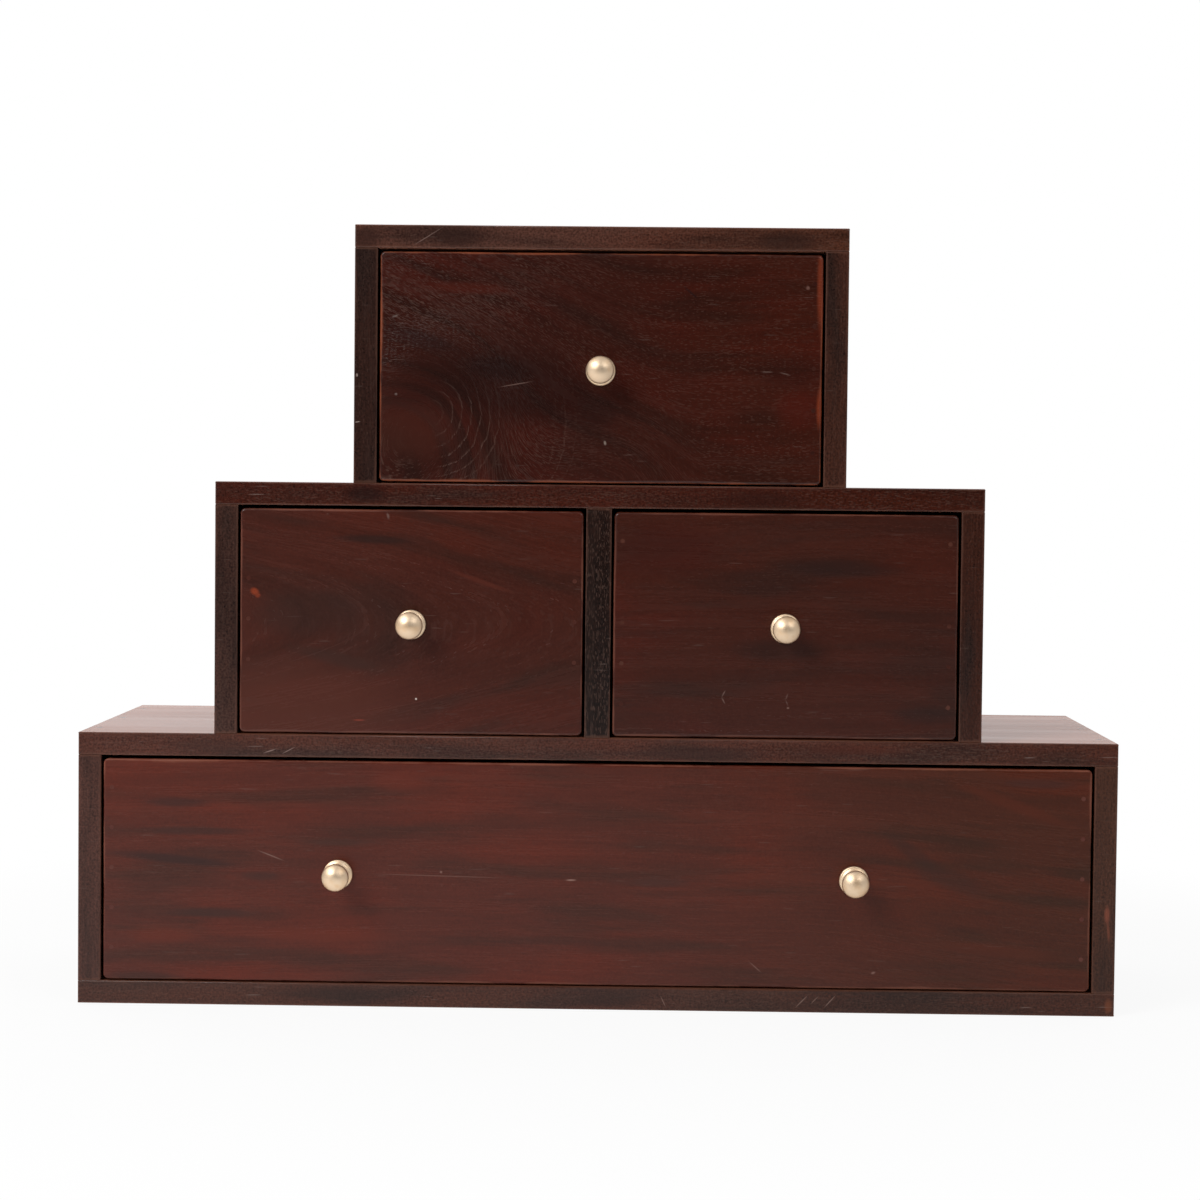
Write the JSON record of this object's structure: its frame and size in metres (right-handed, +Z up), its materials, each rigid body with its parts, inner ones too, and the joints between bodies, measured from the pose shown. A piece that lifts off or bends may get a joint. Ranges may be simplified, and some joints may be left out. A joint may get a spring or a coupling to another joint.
{
  "type": "stepped wooden drawer chest",
  "caption": "Small stepped chest of drawers in dark stained wood, narrowing from a wide drawer at the base to a narrow one on top, with round turned brass knobs.",
  "frame": {"origin": "middle of the base board's underside, half way between the boards' front and back edges", "axes": "+X to the right as the chest is faced, +Y to the back, +Z up; the drawers open along -Y"},
  "size_m": [0.61, 0.2235, 0.459],
  "materials": {
    "carcass_wood": "dark stain, satin",
    "front_wood": "red-brown stain, satin",
    "box_wood": "thinly stained",
    "plywood": "unfinished",
    "brass": "satin, lightly aged",
    "steel": "bright",
    "filler": "matt wood filler"
  },
  "bodies": {
    "carcass": {"back_panel_bottom": "plywood", "back_panel_middle": "plywood", "back_panel_pins": "steel", "back_panel_top": "plywood", "base_board": "carcass_wood", "bottom_side_left": "carcass_wood", "bottom_side_right": "carcass_wood", "carcass_nail_fillers": "filler", "carcass_nails": "steel", "lower_deck": "carcass_wood", "middle_divider": "carcass_wood", "middle_side_left": "carcass_wood", "middle_side_right": "carcass_wood", "top_board": "carcass_wood", "top_side_left": "carcass_wood", "top_side_right": "carcass_wood", "upper_deck": "carcass_wood"},
    "top_drawer": {"top_drawer_back": "box_wood", "top_drawer_bottom": "plywood", "top_drawer_front": "front_wood", "top_drawer_knob": "brass", "top_drawer_knob_screw": "steel", "top_drawer_nail_fillers": "filler", "top_drawer_nails": "steel", "top_drawer_side_left": "box_wood", "top_drawer_side_right": "box_wood"},
    "middle_left_drawer": {"middle_left_drawer_back": "box_wood", "middle_left_drawer_bottom": "plywood", "middle_left_drawer_front": "front_wood", "middle_left_drawer_knob": "brass", "middle_left_drawer_knob_screw": "steel", "middle_left_drawer_nail_fillers": "filler", "middle_left_drawer_nails": "steel", "middle_left_drawer_side_left": "box_wood", "middle_left_drawer_side_right": "box_wood"},
    "middle_right_drawer": {"middle_right_drawer_back": "box_wood", "middle_right_drawer_bottom": "plywood", "middle_right_drawer_front": "front_wood", "middle_right_drawer_knob": "brass", "middle_right_drawer_knob_screw": "steel", "middle_right_drawer_nail_fillers": "filler", "middle_right_drawer_nails": "steel", "middle_right_drawer_side_left": "box_wood", "middle_right_drawer_side_right": "box_wood"},
    "bottom_drawer": {"bottom_drawer_back": "box_wood", "bottom_drawer_bottom": "plywood", "bottom_drawer_front": "front_wood", "bottom_drawer_knob_left": "brass", "bottom_drawer_knob_left_screw": "steel", "bottom_drawer_knob_right": "brass", "bottom_drawer_knob_right_screw": "steel", "bottom_drawer_nail_fillers": "filler", "bottom_drawer_nails": "steel", "bottom_drawer_side_left": "box_wood", "bottom_drawer_side_right": "box_wood"}
  },
  "joints": [
    {"name": "top_drawer_slide", "type": "slide", "parent": "carcass", "child": "top_drawer", "axis": [0, -1, 0], "range_m": [0, 0.16]},
    {"name": "middle_left_drawer_slide", "type": "slide", "parent": "carcass", "child": "middle_left_drawer", "axis": [0, -1, 0], "range_m": [0, 0.16]},
    {"name": "middle_right_drawer_slide", "type": "slide", "parent": "carcass", "child": "middle_right_drawer", "axis": [0, -1, 0], "range_m": [0, 0.16]},
    {"name": "bottom_drawer_slide", "type": "slide", "parent": "carcass", "child": "bottom_drawer", "axis": [0, -1, 0], "range_m": [0, 0.16]}
  ]
}
